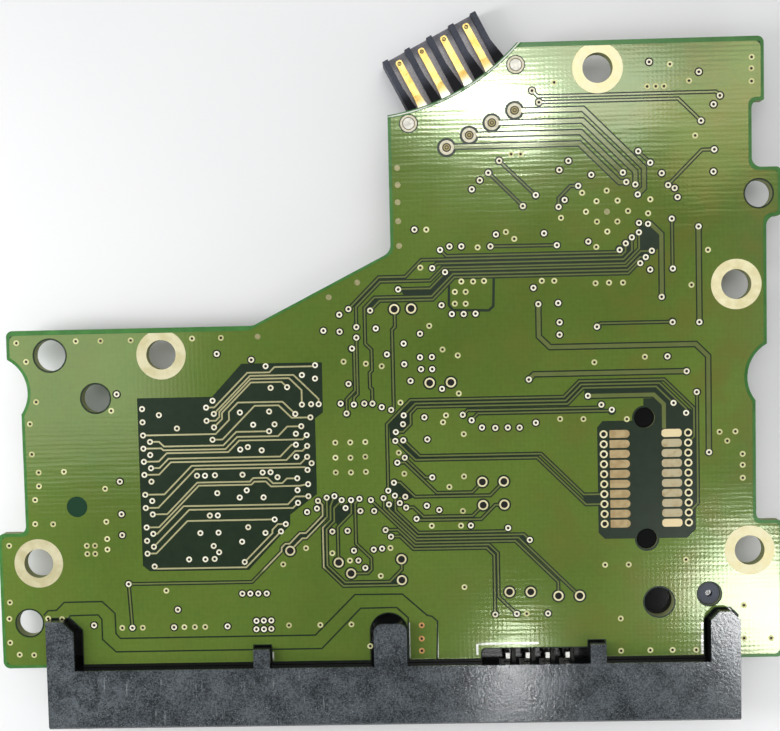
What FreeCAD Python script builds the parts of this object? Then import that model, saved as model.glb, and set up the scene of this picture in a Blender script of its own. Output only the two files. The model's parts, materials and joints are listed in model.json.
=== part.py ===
import FreeCAD, Part
import math
import os
from FreeCAD import Vector

os.makedirs("parts", exist_ok=True)

# board, in mm: X across the drive, Y along it, Z out of the plain face
half_width = 50.0
top_edge = 40.25
bottom_edge = -37.75
wing_top = 5.8
block_left = 1.2
slant_foot = -16.45
slant_top = 14.67
stand = 3.6
thick = 1.2
face = stand + thick
copper = 0.035
plating = 0.05
edge_margin = 0.4
pad_margin = 0.43
notch_margin = 0.14
motor_circle = (-2.41, 58.36, 26.89)
side_notch_y = -2.05
side_notch_r = 4.8
side_notch_xs = (-50.3, 50.5)

# holes: x, y, radius
screw_holes = [(27.42, 36.86), (44.37, 9.66), (45.84, -23.98), (-44.9, -24.1), (-28.23, 2.38)]
screw_r = 1.88
pad_r = 3.15
plain_holes = [(-42.47, 2.58, 2.0), (-36.79, -3.0, 1.8), (-46.38, -31.85, 1.7), (47.22, 20.88, 1.7),
               (34.39, -30.44, 1.87)]
head_pegs = [(32.75, -6.89), (32.93, -22.31)]
head_peg_r = 1.25
foot_peg = (40.73, -29.51, 1.38)
bare_spot = (-39.68, -16.87, 1.33)
via_clear = 0.55
probe_bore = 0.44
probe_r = 0.64
probe_clear = 0.86

# drive-edge connector
plug_x0 = -43.85
plug_x1 = 44.2
plug_front = -45.35
plug_back = -37.8
plug_top = 6.3
plug_wall = 0.9
cavity_floor = -39.1
tongue_tip = -44.8
pin_pitch = 1.27
power_mid = -28.5
signal_mid = -8.85
left_ear = (plug_x0, -40.3)
right_ear = (40.5, plug_x1)
ear_end = -31.4
tab_end = -35.4
tab_gap = 0.1
tab_top = 6.1
jumper_sill = (9.9, 26.6, -33.6, 1.6)
post_mid = 0.1
post_half = 2.1
post_end = -32.3
slot_mid = -0.08
slot_half = 2.32
jumper_pitch = 2.54
jumper_first = 15.04
jumper_shift = 0.85
slack = 0.06

# motor connector: u along the row of contacts, v outward
motor_turn = 27.1
motor_mid = 24.0
motor_pitch = 3.2
motor_half = 6.65
motor_reach = 34.2
motor_pin_v = 20.6
motor_peg_v = 25.5
motor_peg_u = 7.57
motor_pin_r = 0.4
motor_land = 0.9
motor_lock_r = 0.7
motor_lock_land = 1.05
motor_clear = 1.2
pin_slack = 0.05
fillet_high = 0.08

# head connector
head_x = 32.9
head_row_top = -8.88
head_rows = 10
head_rings = (27.6, 38.22)
head_ring_bore = 0.3
head_ring_r = 0.5

# camera model that turns photograph pixels into board millimetres
photo_mid = (390.0, 365.0)
photo_unit = 400.0
photo_bulge = 0.0171
photo_turn = math.radians(1.243)
photo_tilt = (0.0092, -0.0158)
mm_per_unit = 49.79
frame_shift = (0.8, 0.43)

# conductors read from the photograph, in pixels
trace_width = 0.2
wide_width = 0.5
gap = 0.17
split_widths = (0.2, 0.2, 0.32)
least_copper = 0.4
least_trace = 0.05
thin_routes = [
    [(441.2, 248.3), (447.5, 253.5), (619, 251.2), (621.7, 248)],
    [(348, 308), (380, 276.2), (406.7, 274.7), (422.1, 257.4), (623.5, 254.7), (629, 248.8), (627.8, 242)],
    [(433, 266.5), (438.2, 261.4), (625.5, 258.3), (634.5, 249), (634, 236.1)],
    [(356, 326.3), (356, 304.6), (380, 281), (431.9, 278.2), (443.8, 265.6), (627, 262), (641.3, 247.5),
     (641.1, 231.2)],
    [(398.5, 287.7), (431.1, 286.6), (449.5, 267.8), (628, 265.5), (642.5, 250.5), (654, 249.7)],
    [(372.3, 404.2), (372.6, 390.1), (369.4, 387.3), (369.8, 372.6), (372.2, 369.8), (370.8, 348.8),
     (364.6, 343.1), (364.6, 306.7), (374, 296.1), (432.5, 295.1), (454.4, 271.6), (629.5, 269.2),
     (641, 257.3), (648, 255.8)],
    [(370.1, 309.5), (378.9, 299.3), (433.6, 298.6), (455.8, 275.2), (630, 272.6), (640, 262.6),
     (642.5, 261.8)],
    [(356, 337), (357.7, 392), (353, 400.7), (353.6, 405)],
    [(351.2, 348.3), (354.1, 354.4), (354.1, 390.8), (346.6, 399.3), (346.2, 414.3)],
    [(394.8, 308), (395.1, 326.3), (392.4, 328.6), (393.7, 406.5), (391.3, 410.5)],
    [(388.3, 492.4), (387.6, 424.5), (411.2, 400), (566, 397.5), (582.5, 380.4), (665.5, 380), (696, 406),
     (696.6, 437), (690.5, 443)],
    [(404.2, 416.1), (416.8, 403.4), (568, 401.2), (584, 384), (662, 383.5), (688.6, 408), (688.7, 413)],
    [(396.2, 432.9), (403.5, 432.2), (410.7, 425.9), (411.2, 414), (417.5, 407), (570, 404.7), (586, 387.4),
     (659, 387), (676, 403.2)],
    [(464.5, 415.4), (469.4, 410.8), (599, 408), (604, 405)],
    [(472.9, 420.8), (480.7, 414.2), (614.4, 411)],
    [(403.8, 441.4), (420.5, 457.2), (543.3, 454.9), (585.8, 495.6), (606.5, 495.4)],
    [(395.5, 441.6), (416.5, 461), (539.3, 458.9), (589.2, 506.4), (606.5, 505.4)],
    [(405.2, 459.3), (425.5, 479.4), (433, 479)],
    [(397.6, 464.1), (407, 465), (437, 494.8), (473.5, 494), (483.8, 483.5)],
    [(394.4, 484.3), (400, 485), (416, 498.1), (491.6, 497.6), (505.5, 483)],
    [(406.5, 509.5), (413.5, 509.6), (424.5, 518.8), (474.5, 517.9), (484.5, 507)],
    [(417, 521), (422, 522.2), (481.9, 521.4), (496.3, 507.5), (506, 506.5)],
    [(395.3, 497.6), (394.8, 511.9), (418.2, 534.5), (505, 533.9), (509.6, 530.1)],
    [(389.2, 506.7), (389.3, 511), (416.5, 537.9), (525.3, 536.9), (531.5, 542)],
    [(383.5, 500), (383.8, 509.6), (415.4, 541.3), (519.5, 540.2), (581.3, 598)],
    [(370.7, 502.1), (414.8, 544.7), (517.5, 543.4), (558.8, 583), (560, 598)],
    [(385.5, 532.3), (398, 532), (414.8, 548.1), (490.5, 547), (499.2, 555.2), (499.8, 599.8), (518, 616.2)],
    [(391.2, 538.9), (401, 538.9), (413.1, 551.3), (488.2, 550.4), (495.2, 557), (496.3, 616.5)],
    [(317.2, 502.7), (321.5, 507.5), (321.8, 518), (304.8, 534.8), (299, 535.6), (288, 545.6), (283.5, 546.2),
     (280.4, 550), (280.2, 554), (251.3, 583.2), (127.6, 585)],
    [(325.8, 499.8), (326, 519.5), (305.2, 540.2), (301, 540.8), (289, 553)],
    [(333.6, 498), (329.6, 508), (329.6, 522.2), (322.4, 529.1), (322.4, 569.9), (343.6, 588.2),
     (398.7, 588), (402, 583)],
    [(341, 502), (333.4, 509.6), (333.4, 524), (326.2, 530.8), (326.2, 567.8), (344.8, 584.8), (389.5, 584.6),
     (401.6, 572.7), (401.7, 562)],
    [(350.5, 502), (350.7, 515.9), (337.3, 528.5), (337.9, 565)],
    [(359, 500.8), (355.1, 505.6), (355.1, 545.8), (371.2, 560.7), (371.2, 572.2), (367.7, 575.9),
     (350.8, 576.2)],
    [(699.3, 391.9), (699.7, 504.2), (690.5, 513.3)],
    [(500.5, 158.5), (537.4, 193.3)],
    [(489.8, 170.4), (524.5, 204)],
    [(491.8, 244.5), (559, 243.4)],
    [(673.7, 217.6), (674.8, 267.7)],
    [(600, 325.9), (602.5, 322.7), (674.8, 321.1)],
    [(533, 89), (538, 94.4), (714.5, 92.4), (719.2, 96)],
    [(540, 100.5), (678.5, 98.6), (701.1, 120.6)],
    [(714.5, 149), (703, 149), (669.7, 183.5)],
    [(639.3, 150), (651.5, 161.3)],
    [(579.9, 184), (572.9, 184), (561, 195), (560.6, 205)],
    [(127.6, 585), (131.8, 628.4)],
]
wide_routes = [
    [(515.4, 108.7), (583.6, 107.2), (645.5, 166), (645.5, 187), (639.6, 193)],
    [(492.7, 120.8), (583.6, 119.3), (637.4, 170), (637.2, 183)],
    [(470.3, 132.6), (583, 131.7), (624.5, 171.2)],
    [(447.6, 144.5), (582.3, 142.8), (620.8, 180.5), (628, 180.5)],
    [(590.7, 396.1), (656.8, 394.8), (666.2, 404.2), (666.6, 430)],
    [(650, 222.4), (653, 223), (663.8, 233.3), (664.3, 295.8)],
    [(700, 225.6), (701.7, 321.3)],
    [(540.5, 303), (541, 335.5), (552, 346.6), (697.5, 343.7), (710.6, 355.5), (710.9, 452.5)],
    [(531.2, 379.4), (536.4, 374.4), (688.8, 370.9)],
]
memory_routes = [
    [(204, 408), (213, 407.5), (245, 372.7), (267.3, 372.3), (273.6, 366.4), (314, 366)],
    [(211.8, 414.3), (246.8, 375.7), (291.4, 375), (317.7, 398.6), (317.7, 404.6)],
    [(204.5, 421.4), (213.7, 421.4), (217.3, 417.3), (217.3, 413), (247.7, 379), (288, 378.2), (300.7, 391),
     (300.7, 405)],
    [(212, 428), (220, 419.5), (220, 413.8), (248.6, 382.5), (280.2, 382), (285.7, 387.3)],
    [(141, 436), (212, 435.2), (227, 421.8), (227, 413), (235.2, 403), (280.7, 402), (294, 414.5)],
    [(210.5, 440.5), (220, 440.5), (253, 406.3), (277, 405.6), (292.3, 420.4), (309.3, 418)],
    [(148, 442.5), (156.6, 442.5), (162, 447), (221, 446.4), (234.3, 432.7), (267.5, 432)],
    [(141.4, 449.3), (158.4, 449), (162, 451), (223.6, 450), (235.2, 437.7), (276.8, 437), (285.2, 427.7),
     (300, 427)],
    [(142, 462.5), (156.6, 462.5), (164.6, 454), (226.3, 453), (237, 441.8), (301, 440), (305.5, 436)],
    [(149, 469), (156.6, 469), (167.3, 459.4), (279, 457.8), (289.6, 446), (294.6, 445.7)],
    [(142.5, 475.7), (157.5, 475.7), (168.2, 463), (285.2, 461.4), (293.2, 452.5), (301.5, 451.5),
     (306, 447)],
    [(143.4, 495.7), (162, 495.7), (189.6, 467), (300, 464.8), (306, 458)],
    [(144, 509), (157, 509), (192.3, 470.4), (303, 468.4), (306.4, 471.3)],
    [(151, 515.5), (165.5, 515.5), (195, 483.8), (247.7, 483), (252, 479.3), (264.6, 479.3), (272.7, 484.8),
     (280.7, 484.6), (285.2, 480.4), (296, 479.8)],
    [(145, 528.6), (157.5, 528.6), (196.4, 487), (249.5, 486), (253, 483), (263.8, 483), (270, 488.2),
     (298.6, 487.3), (307, 485.7)],
    [(151.6, 535), (155.7, 535), (181.6, 507.5), (286, 506.1), (293.2, 499.8), (307.3, 498)],
    [(152.3, 548), (187.5, 511.4), (291.4, 509.6), (296.8, 504.6)],
    [(146, 554.8), (154.8, 554.8), (185.2, 522.7), (273.2, 521.3)],
    [(153.2, 567.7), (155.7, 570), (246, 569.4), (279.6, 533.4)],
    [(243.2, 564), (271, 537), (271, 531.6), (276.3, 526.3), (284.5, 526)],
]
split_lines = [
    [(44.5, 615), (48.7, 610.3), (57, 610), (64.3, 602.3), (101.5, 602), (114.4, 614), (115.6, 634),
     (120, 638.8), (314.6, 637.6), (354.4, 597.3), (402.5, 596.8), (427.4, 618), (432.4, 619),
     (438, 624), (437.3, 668)],
    [(65, 622.5), (70.5, 615.6), (97.8, 615.2), (101.5, 619.7), (102.5, 639.6), (116, 652), (321.3, 651),
     (360.2, 611), (396.7, 610.2), (408.3, 620.5), (409.2, 668)],
    [(450, 273), (450, 304), (454, 309), (490.5, 309.3), (495, 305), (495.5, 272)],
]
windows = [
    [(135, 398.5), (210, 397), (239.5, 363.5), (321, 362), (322, 413), (314, 419), (316, 496), (289, 516.5),
     (289, 527), (247.5, 572), (148.5, 572.5), (141.5, 567)],
    [(605, 421.5), (599.7, 428), (600.7, 534.5), (607, 540.5), (689, 538.5), (697.5, 530), (697.5, 424),
     (640, 421)],
    [(646, 398.6), (656, 398.2), (663.4, 406), (663.8, 426), (646, 426)],
    [(669.4, 404), (681, 403), (694, 409.5), (695.5, 426), (669.4, 426)],
    [(587, 389), (657, 388.6), (673, 404), (668, 404), (657.5, 392.2), (587, 393.5)],
    [(389, 424), (410.5, 402.3), (418, 403), (411.5, 413), (411, 426), (403.5, 433.5), (390, 440)],
    [(641, 222), (650, 226), (660.8, 236), (661, 247), (655, 251), (643, 249.5), (641, 246)],
    [(401, 288), (432, 287), (449.5, 269), (453, 271.5), (432, 294.5), (404, 294)],
    [(334.5, 509), (349.5, 504), (349.5, 515.3), (336.5, 527), (334.5, 524)],
    [(395, 486), (400, 486), (414.5, 499), (408, 502), (396, 497)],
    [(583, 496), (601, 496), (601, 505.6), (590, 505.6)],
    [(397, 443), (404, 443), (420.5, 458), (417, 460.5)],
]
test_vias = [(289, 553), (338, 565), (350.6, 576), (401.6, 561.8), (402, 582.8), (394.4, 308), (411.6, 307.4),
             (430.4, 383), (452, 382.4), (483.8, 483.5), (505.5, 483), (484.5, 507), (506, 506.4),
             (510.8, 594.4), (532.2, 594.2), (560, 598), (581.4, 597.8)]


def on_board(px, py):
    dx = (px - photo_mid[0]) / photo_unit
    dy = (py - photo_mid[1]) / photo_unit
    swell = 1 + photo_bulge * (dx * dx + dy * dy)
    dx *= swell
    dy *= swell
    depth = 1 + dx * photo_tilt[0] + dy * photo_tilt[1]
    dx /= depth
    dy /= depth
    x = math.cos(photo_turn) * dx - math.sin(photo_turn) * dy
    y = math.sin(photo_turn) * dx + math.cos(photo_turn) * dy
    return x * mm_per_unit + frame_shift[0], frame_shift[1] - y * mm_per_unit


def save(name, shape):
    # the part's origin is under the middle of its outer box
    shape.translate(Vector(0, -middle_y, 0))
    shape.exportStep("parts/" + name + ".step")


def group(shapes):
    return Part.makeCompound(shapes)


def box(x0, x1, y0, y1, z0, z1):
    return Part.makeBox(x1 - x0, y1 - y0, z1 - z0, Vector(x0, y0, z0))


def rod(x, y, r, z0, z1):
    return Part.makeCylinder(r, z1 - z0, Vector(x, y, z0))


def flat(points, z):
    corners = [Vector(x, y, z) for x, y in points]
    return Part.Face(Part.makePolygon(corners + corners[:1]))


def prism(points, z0, z1):
    return flat(points, z0).extrude(Vector(0, 0, z1 - z0))


def disc(x, y, r, z):
    return Part.Face(Part.Wire(Part.makeCircle(r, Vector(x, y, z))))


def rounded(corners, z):
    # closed face whose corners are (x, y, radius)
    starts = []
    ends = []
    mids = []
    count = len(corners)
    for i in range(count):
        x, y, r = corners[i]
        here = Vector(x, y, z)
        back = Vector(corners[i - 1][0], corners[i - 1][1], z) - here
        ahead = Vector(corners[(i + 1) % count][0], corners[(i + 1) % count][1], z) - here
        back.normalize()
        ahead.normalize()
        half = back.getAngle(ahead) / 2
        cut = r / math.tan(half)
        toward = back + ahead
        starts.append(here + back * cut)
        ends.append(here + ahead * cut)
        if r:
            toward.normalize()
            mids.append(here + toward * (r / math.sin(half) - r))
        else:
            mids.append(here)
    edges = []
    for i in range(count):
        if corners[i][2]:
            edges.append(Part.Arc(starts[i], mids[i], ends[i]).toShape())
        after = starts[(i + 1) % count]
        if (after - ends[i]).Length > 1e-6:
            edges.append(Part.makeLine(ends[i], after))
    return Part.Face(Part.Wire(edges))


def direction(a, b):
    step = math.pi / 4
    turn = round(math.atan2(b[1] - a[1], b[0] - a[0]) / step) * step
    return math.cos(turn), math.sin(turn)


def squared(points):
    # a route's bends set to multiples of 45 degrees, its two ends kept
    if len(points) < 3:
        return points
    lines = []
    for i in range(len(points) - 1):
        a = points[i]
        b = points[i + 1]
        through = ((a[0] + b[0]) / 2, (a[1] + b[1]) / 2)
        if i == 0:
            through = a
        elif i == len(points) - 2:
            through = b
        lines.append((through, direction(a, b)))
    path = [points[0]]
    for i in range(len(lines) - 1):
        p, d = lines[i]
        q, e = lines[i + 1]
        cross = d[0] * e[1] - d[1] * e[0]
        bend = points[i + 1]
        if abs(cross) > 0.1:
            run = ((q[0] - p[0]) * e[1] - (q[1] - p[1]) * e[0]) / cross
            meet = (p[0] + run * d[0], p[1] + run * d[1])
            if math.hypot(meet[0] - bend[0], meet[1] - bend[1]) < 0.7:
                bend = meet
        path.append(bend)
    path.append(points[-1])
    return path


def strip(points, width, z, reach=0.0):
    # flat band along a route, with mitred bends
    left = []
    right = []
    last = len(points) - 1
    for i in range(len(points)):
        x, y = points[i]
        before = points[max(i - 1, 0)]
        after = points[min(i + 1, last)]
        ins = Vector(x - before[0], y - before[1], 0)
        out = Vector(after[0] - x, after[1] - y, 0)
        if i == 0:
            ins = Vector(out)
        if i == last:
            out = Vector(ins)
        ins.normalize()
        out.normalize()
        mitre = ins + out
        mitre.normalize()
        stretch = width / 2 / max(mitre.dot(ins), 0.35)
        push = 0.0
        if i == 0:
            push = -reach
        elif i == last:
            push = reach
        side = Vector(-mitre.y, mitre.x, 0) * stretch
        along = ins * push
        left.append((x + along.x + side.x, y + along.y + side.y))
        right.append((x + along.x - side.x, y + along.y - side.y))
    return flat(left + right[::-1], z)


def route(pixels):
    return squared([on_board(px, py) for px, py in pixels])


thin = [route(pixels) for pixels in thin_routes]
wide = [route(pixels) for pixels in wide_routes]
memory = [route(pixels) for pixels in memory_routes]
splits = [[on_board(px, py) for px, py in pixels] for pixels in split_lines]
clear_areas = [[on_board(px, py) for px, py in pixels] for pixels in windows]
probes = [on_board(px, py) for px, py in test_vias]

# motor connector placement
motor_cos = math.cos(math.radians(motor_turn))
motor_sin = math.sin(math.radians(motor_turn))
motor_tip = (motor_mid + motor_half) * motor_sin + motor_reach * motor_cos + frame_shift[1]
middle_y = (plug_front + motor_tip) / 2
motor_us = [motor_mid + (i - 1.5) * motor_pitch for i in range(4)]


def at_motor(u, v):
    return u * motor_cos - v * motor_sin + frame_shift[0], u * motor_sin + v * motor_cos + frame_shift[1]


def to_motor(shape):
    turned = shape.copy()
    turned.rotate(Vector(0, 0, 0), Vector(0, 0, 1), motor_turn)
    turned.translate(Vector(frame_shift[0], frame_shift[1], 0))
    return turned


motor_pins = [at_motor(u, motor_pin_v) for u in motor_us]
motor_locks = [at_motor(motor_mid + s * motor_peg_u, motor_peg_v) for s in (-1, 1)]


def outline(inset, z):
    # the board's plan, drawn in from its edge by a margin
    w = half_width - inset
    corners = [
        (block_left + inset, top_edge - 1.5 * inset, 0), (47.95 - inset, top_edge - 1.5 * inset, 0.8),
        (47.95 - inset, 32.35 + inset, 0.2), (46.4 - inset, 32.35 + inset, 0.9),
        (46.4 - inset, 24.15 - inset, 1.2), (w, 24.15 - inset, 0.6), (w, 18.05 + inset, 0.5),
        (48.15 - inset, 18.05 + inset, 1.2), (48.15 - inset, side_notch_y, 0),
        (46.7 - inset, side_notch_y, 0),
        (46.7 - inset, -20.2 - inset, 0.9), (w, -20.2 - inset, 0.6), (w, bottom_edge + inset, 0.8),
        (-w, bottom_edge + inset, 0.9), (-w, -20.2 - inset, 0.7), (-46.4 + inset, -20.2 - inset, 0.9),
        (-46.4 + inset, side_notch_y, 0), (-48.0 + inset, side_notch_y, 0),
        (-48.0 + inset, wing_top - 1.5 * inset, 0.8), (slant_foot - 1.2 * inset, wing_top - 1.5 * inset, 1.5),
        (block_left + inset, slant_top - 0.4 * inset, 1.5)]
    plan = rounded(corners, z)
    bites = [disc(motor_circle[0], motor_circle[1], motor_circle[2] + inset, z)]
    bites += [disc(x, side_notch_y, side_notch_r + inset, z) for x in side_notch_xs]
    return plan.cut(bites)


def ear_plans(z):
    # plan of the two ears, with their chamfered corners
    low = bottom_edge - 1
    x0, x1 = left_ear
    left = flat([(x0, low), (x1, low), (x1, ear_end - 1.5), (x1 - 1.5, ear_end), (x0, ear_end)], z)
    x0, x1 = right_ear
    right = flat([(x0, low), (x1, low), (x1, ear_end - 1.1), (x1 - 1.1, ear_end), (x0 + 1.1, ear_end),
                  (x0, ear_end - 1.1)], z)
    return [left, right]


def ear_notches(grow, z):
    low = bottom_edge - 1
    top = ear_end + slack + grow
    x0 = left_ear[0] - slack - grow
    x1 = -39.62 + grow
    left = flat([(x0, low), (x1, low), (x1, top - 1.6), (x1 - 1.6, top), (x0, top)], z)
    x0 = 40.08 - grow
    x1 = right_ear[1] + slack + grow
    right = rounded([(x0, low, 0), (x1, low, 0), (x1, top - 1.0, 0), (x1 - 1.0, top, 0.3),
                     (x0 + 1.4, top, 0.5), (x0, top - 1.4, 0.5)], z)
    return [left, right]


def tab_plans(grow, z, ahead=0):
    low = bottom_edge - 1
    plans = []
    end = tab_end + grow + ahead
    for x0, x1 in ((-17.39, -15.31), (25.4, 27.4)):
        plans.append(flat([(x0 - grow, low), (x1 + grow, low), (x1 + grow, end), (x0 - grow, end)], z))
    return plans


def notches(grow, z):
    # openings in the lower edge for the connector's ears, post, tabs and jumper leads
    low = bottom_edge - 1
    slot_y = ear_end + slack - slot_half
    slot = flat([(slot_mid - slot_half - grow, low), (slot_mid + slot_half + grow, low),
                 (slot_mid + slot_half + grow, slot_y), (slot_mid - slot_half - grow, slot_y)], z)
    slot_end = disc(slot_mid, slot_y, slot_half + grow, z)
    jumper = rounded([(11.75 - grow, low, 0), (25.6, low, 0), (25.6, -36.15 + grow, 0),
                      (11.75 - grow, -36.15 + grow, 0.6)], z)
    return ear_notches(grow, z) + [slot, slot_end, jumper] + tab_plans(slack + grow, z, tab_gap)


# board
round_openings = [(x, y, screw_r) for x, y in screw_holes] + plain_holes
round_openings += [(x, y, head_peg_r + slack) for x, y in head_pegs]
round_openings += [(foot_peg[0], foot_peg[1], foot_peg[2] + slack)]
round_openings += [(x, y, motor_pin_r + pin_slack) for x, y in motor_pins]
round_openings += [(x, y, motor_lock_r + pin_slack) for x, y in motor_locks]
board_plan = outline(0, stand).cut(notches(0, stand) + [disc(x, y, r, stand) for x, y, r in round_openings])
board = board_plan.extrude(Vector(0, 0, thick))
save("board", board)

# copper sheet under the mask, with its gaps, and the conductors in them
holes = [disc(x, y, pad_r, face) for x, y in screw_holes]
holes += [disc(x, y, r + 0.2, face) for x, y, r in plain_holes]
holes += [disc(x, y, head_peg_r + 0.3, face) for x, y in head_pegs]
holes += [disc(foot_peg[0], foot_peg[1], foot_peg[2] + 0.25, face), disc(*bare_spot, face)]
holes += [disc(x, y, motor_clear, face) for x, y in motor_pins + motor_locks]
holes += [disc(x, y, probe_clear, face) for x, y in probes]
holes += [disc(*end, via_clear, face) for path in thin + wide for end in (path[0], path[-1])]
gaps = [strip(path, trace_width + 2 * gap, face, 0.25) for path in thin]
gaps += [strip(path, wide_width + 2 * gap, face, 0.25) for path in wide]
gaps += [strip(path, width, face) for path, width in zip(splits, split_widths)]
areas = [flat(points, face) for points in clear_areas]
sheet = outline(edge_margin, face).cut(notches(notch_margin, face) + holes + areas)
sheet = sheet.cut(gaps)
save("copper_pour", group([f.extrude(Vector(0, 0, copper)) for f in sheet.Faces if f.Area > least_copper]))

lands = [disc(x, y, probe_r, face) for x, y in probes]
lands += [disc(x, y, motor_land, face) for x, y in motor_pins]
lines = [strip(path, trace_width, face) for path in thin + memory]
lines += [strip(path, wide_width, face) for path in wide]
head_left = [(head_rings[0], head_row_top - i * pin_pitch) for i in range(head_rows)]
head_right = [(head_rings[1], head_row_top - i * pin_pitch) for i in range(head_rows)]
lands += [disc(x, y, head_ring_r, face) for x, y in head_left + head_right]
lands += [flat([(34.8, -9.5), (37.5, -9.5), (37.5, -8.3), (34.8, -8.3)], face)]
merged = lines[0].multiFuse(lines[1:]).cut(lands)
drawn = [f for f in merged.removeSplitter().Faces if f.Area > least_trace]
save("traces", group([f.extrude(Vector(0, 0, copper)) for f in drawn]))


# bare plated rings and pads of both faces
def screw_pads(z, high):
    limit = outline(pad_margin, z)
    pads = []
    for x, y in screw_holes:
        ring = disc(x, y, pad_r, z).cut(disc(x, y, screw_r, z)).common(limit)
        pads.append(ring.Faces[0].extrude(Vector(0, 0, high)))
    return group(pads)


save("screw_pads_outer", screw_pads(face, plating))
save("screw_pads_inner", screw_pads(stand, -plating))


def ringlet(x, y, r0, r1, z, high):
    return disc(x, y, r1, z).cut(disc(x, y, r0, z)).extrude(Vector(0, 0, high))


save("test_rings", group([ringlet(x, y, probe_bore, probe_r, face, plating) for x, y in probes]))
rings = [ringlet(x, y, head_ring_bore, head_ring_r, face, plating) for x, y in head_left + head_right]
save("head_rings", group(rings))
head_pads = []
for x, y in head_left:
    head_pads.append(rounded([(28.34, y - 0.5, 0.12), (30.87, y - 0.5, 0.49), (30.87, y + 0.5, 0.49),
                              (28.34, y + 0.5, 0.12)], face))
for x, y in head_right:
    head_pads.append(rounded([(34.88, y - 0.5, 0.4), (37.41, y - 0.5, 0.4), (37.41, y + 0.5, 0.4),
                              (34.88, y + 0.5, 0.4)], face))
save("head_pads", group([f.extrude(Vector(0, 0, plating)) for f in head_pads]))

# drive-edge connector
power_xs = [power_mid + (i - 7) * pin_pitch for i in range(15)]
signal_xs = [signal_mid + (i - 3) * pin_pitch for i in range(7)]
jumper_xs = [jumper_first + i * jumper_pitch for i in range(4)]


def blade(x):
    return box(x - 0.3, x + 0.3, -43.6, -34.6, stand - 0.18, stand)


def upper_pin(x):
    start = x - jumper_shift
    run = box(start - 0.25, start + 0.25, tongue_tip, -37.4, 4.5, 5.0)
    jog = box(start - 0.25, x + 0.25, -37.75, -37.4, 4.5, 5.0)
    step = box(x - 0.25, x + 0.25, -37.75, -36.7, 4.5, 5.0)
    leg = box(x - 0.25, x + 0.25, -37.2, -36.7, stand - 0.5, 5.0)
    foot = box(x - 0.25, x + 0.25, -37.2, -34.6, stand - 0.5, stand)
    return run.multiFuse([jog, step, leg, foot]).removeSplitter()


def lower_pin(x):
    start = x - jumper_shift
    end = x + 1.0
    run = box(start - 0.25, start + 0.25, tongue_tip, -38.1, 1.96, 2.46)
    jog = box(start - 0.25, end + 0.25, -38.6, -38.1, 1.96, 2.46)
    tail = box(end - 0.25, end + 0.25, -38.6, -35.8, 1.96, 2.46)
    leg = box(end - 0.25, end + 0.25, -36.3, -35.8, 1.96, stand)
    foot = box(end - 0.25, end + 0.25, -36.3, -34.4, stand - 0.5, stand)
    return run.multiFuse([jog, tail, leg, foot]).removeSplitter()


power_blades = [blade(x) for x in power_xs]
signal_blades = [blade(x) for x in signal_xs]
jumper_pins = [upper_pin(x) for x in jumper_xs] + [lower_pin(x) for x in jumper_xs]

shell = box(plug_x0, plug_x1, plug_front, plug_back, 0, plug_top)
long_edges = [e for e in shell.Edges if abs(e.BoundBox.XLength) > 50 and e.BoundBox.YMin < plug_front + 0.01]
shell = shell.makeChamfer(0.3, long_edges)
for x0, x1 in ((-39.4, -17.6), (-15.2, -2.5), (12.0, 24.2)):
    shell = shell.cut(box(x0, x1, plug_front - 1, cavity_floor, plug_wall, plug_top - plug_wall))
tongue_power = box(-38.4, -18.6, tongue_tip, cavity_floor, stand, stand + 1.2)
tongue_signal = box(-14.1, -3.6, tongue_tip, cavity_floor, stand, stand + 1.2)
key_power = box(-18.6, -17.9, tongue_tip, cavity_floor, stand - 1.3, stand + 1.2)
key_signal = box(-14.8, -14.1, tongue_tip, cavity_floor, stand - 1.3, stand + 1.2)
post = rounded([(post_mid - post_half, plug_back - 0.5, 0), (post_mid + post_half, plug_back - 0.5, 0),
                (post_mid + post_half, post_end, 1.1), (post_mid - post_half, post_end, 1.1)], 0)
fingers = [plan.extrude(Vector(0, 0, plug_top)) for plan in ear_plans(0)]
fingers += [post.extrude(Vector(0, 0, plug_top))]
fingers += [plan.extrude(Vector(0, 0, tab_top)) for plan in tab_plans(0, 0)]
low_trim = box(-60, 60, -60, plug_back, -1, 20)
fingers = [f.cut(low_trim) for f in fingers]
sill = box(jumper_sill[0], jumper_sill[1], plug_back, jumper_sill[2], 0, jumper_sill[3])
flange = box(29.5, plug_x1, plug_back, -27.2, 0.8, stand)
stub = rod(foot_peg[0], foot_peg[1], foot_peg[2], stand, face - 0.25)
stub = stub.cut(rod(foot_peg[0], foot_peg[1], 0.45, face - 0.6, face))
shell = shell.multiFuse([tongue_power, tongue_signal, key_power, key_signal, sill, flange, stub] + fingers)
shell = shell.removeSplitter().cut(power_blades + signal_blades + jumper_pins)
save("interface_housing", shell)
save("power_contacts", group(power_blades))
save("signal_contacts", group(signal_blades))
save("jumper_pins", group(jumper_pins))

# motor connector, built along u and v and then turned into place
rib_half = 0.37
rib_top = 2.9
rib_flares = (0.42, 0.5, 0.55, 0.6, 0.8)
flare_run = 4.0
slot_floor = 2.05
spring_tip = 33.5
inner_v = 26.2
base = box(motor_mid - 8.7, motor_mid + 8.7, 18.9, inner_v, 0.9, stand)
nose = box(motor_mid - motor_half, motor_mid + motor_half, inner_v, motor_reach - 0.06, 0, slot_floor)
nose = nose.fuse(box(motor_mid - motor_half, motor_mid + motor_half, 24.0, inner_v, 0, 1.0))
ribs = []
for i in range(5):
    u = motor_mid + (i - 2) * (motor_half - rib_half) / 2
    ribs.append(box(u - rib_half, u + rib_half, inner_v, motor_reach, 0, rib_top))
    foot_u = u + rib_half + rib_flares[i]
    ribs.append(prism([(u, inner_v), (foot_u, inner_v), (u + rib_half, inner_v + flare_run),
                       (u, inner_v + flare_run)], 0, rib_top))
springs = []
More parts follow.
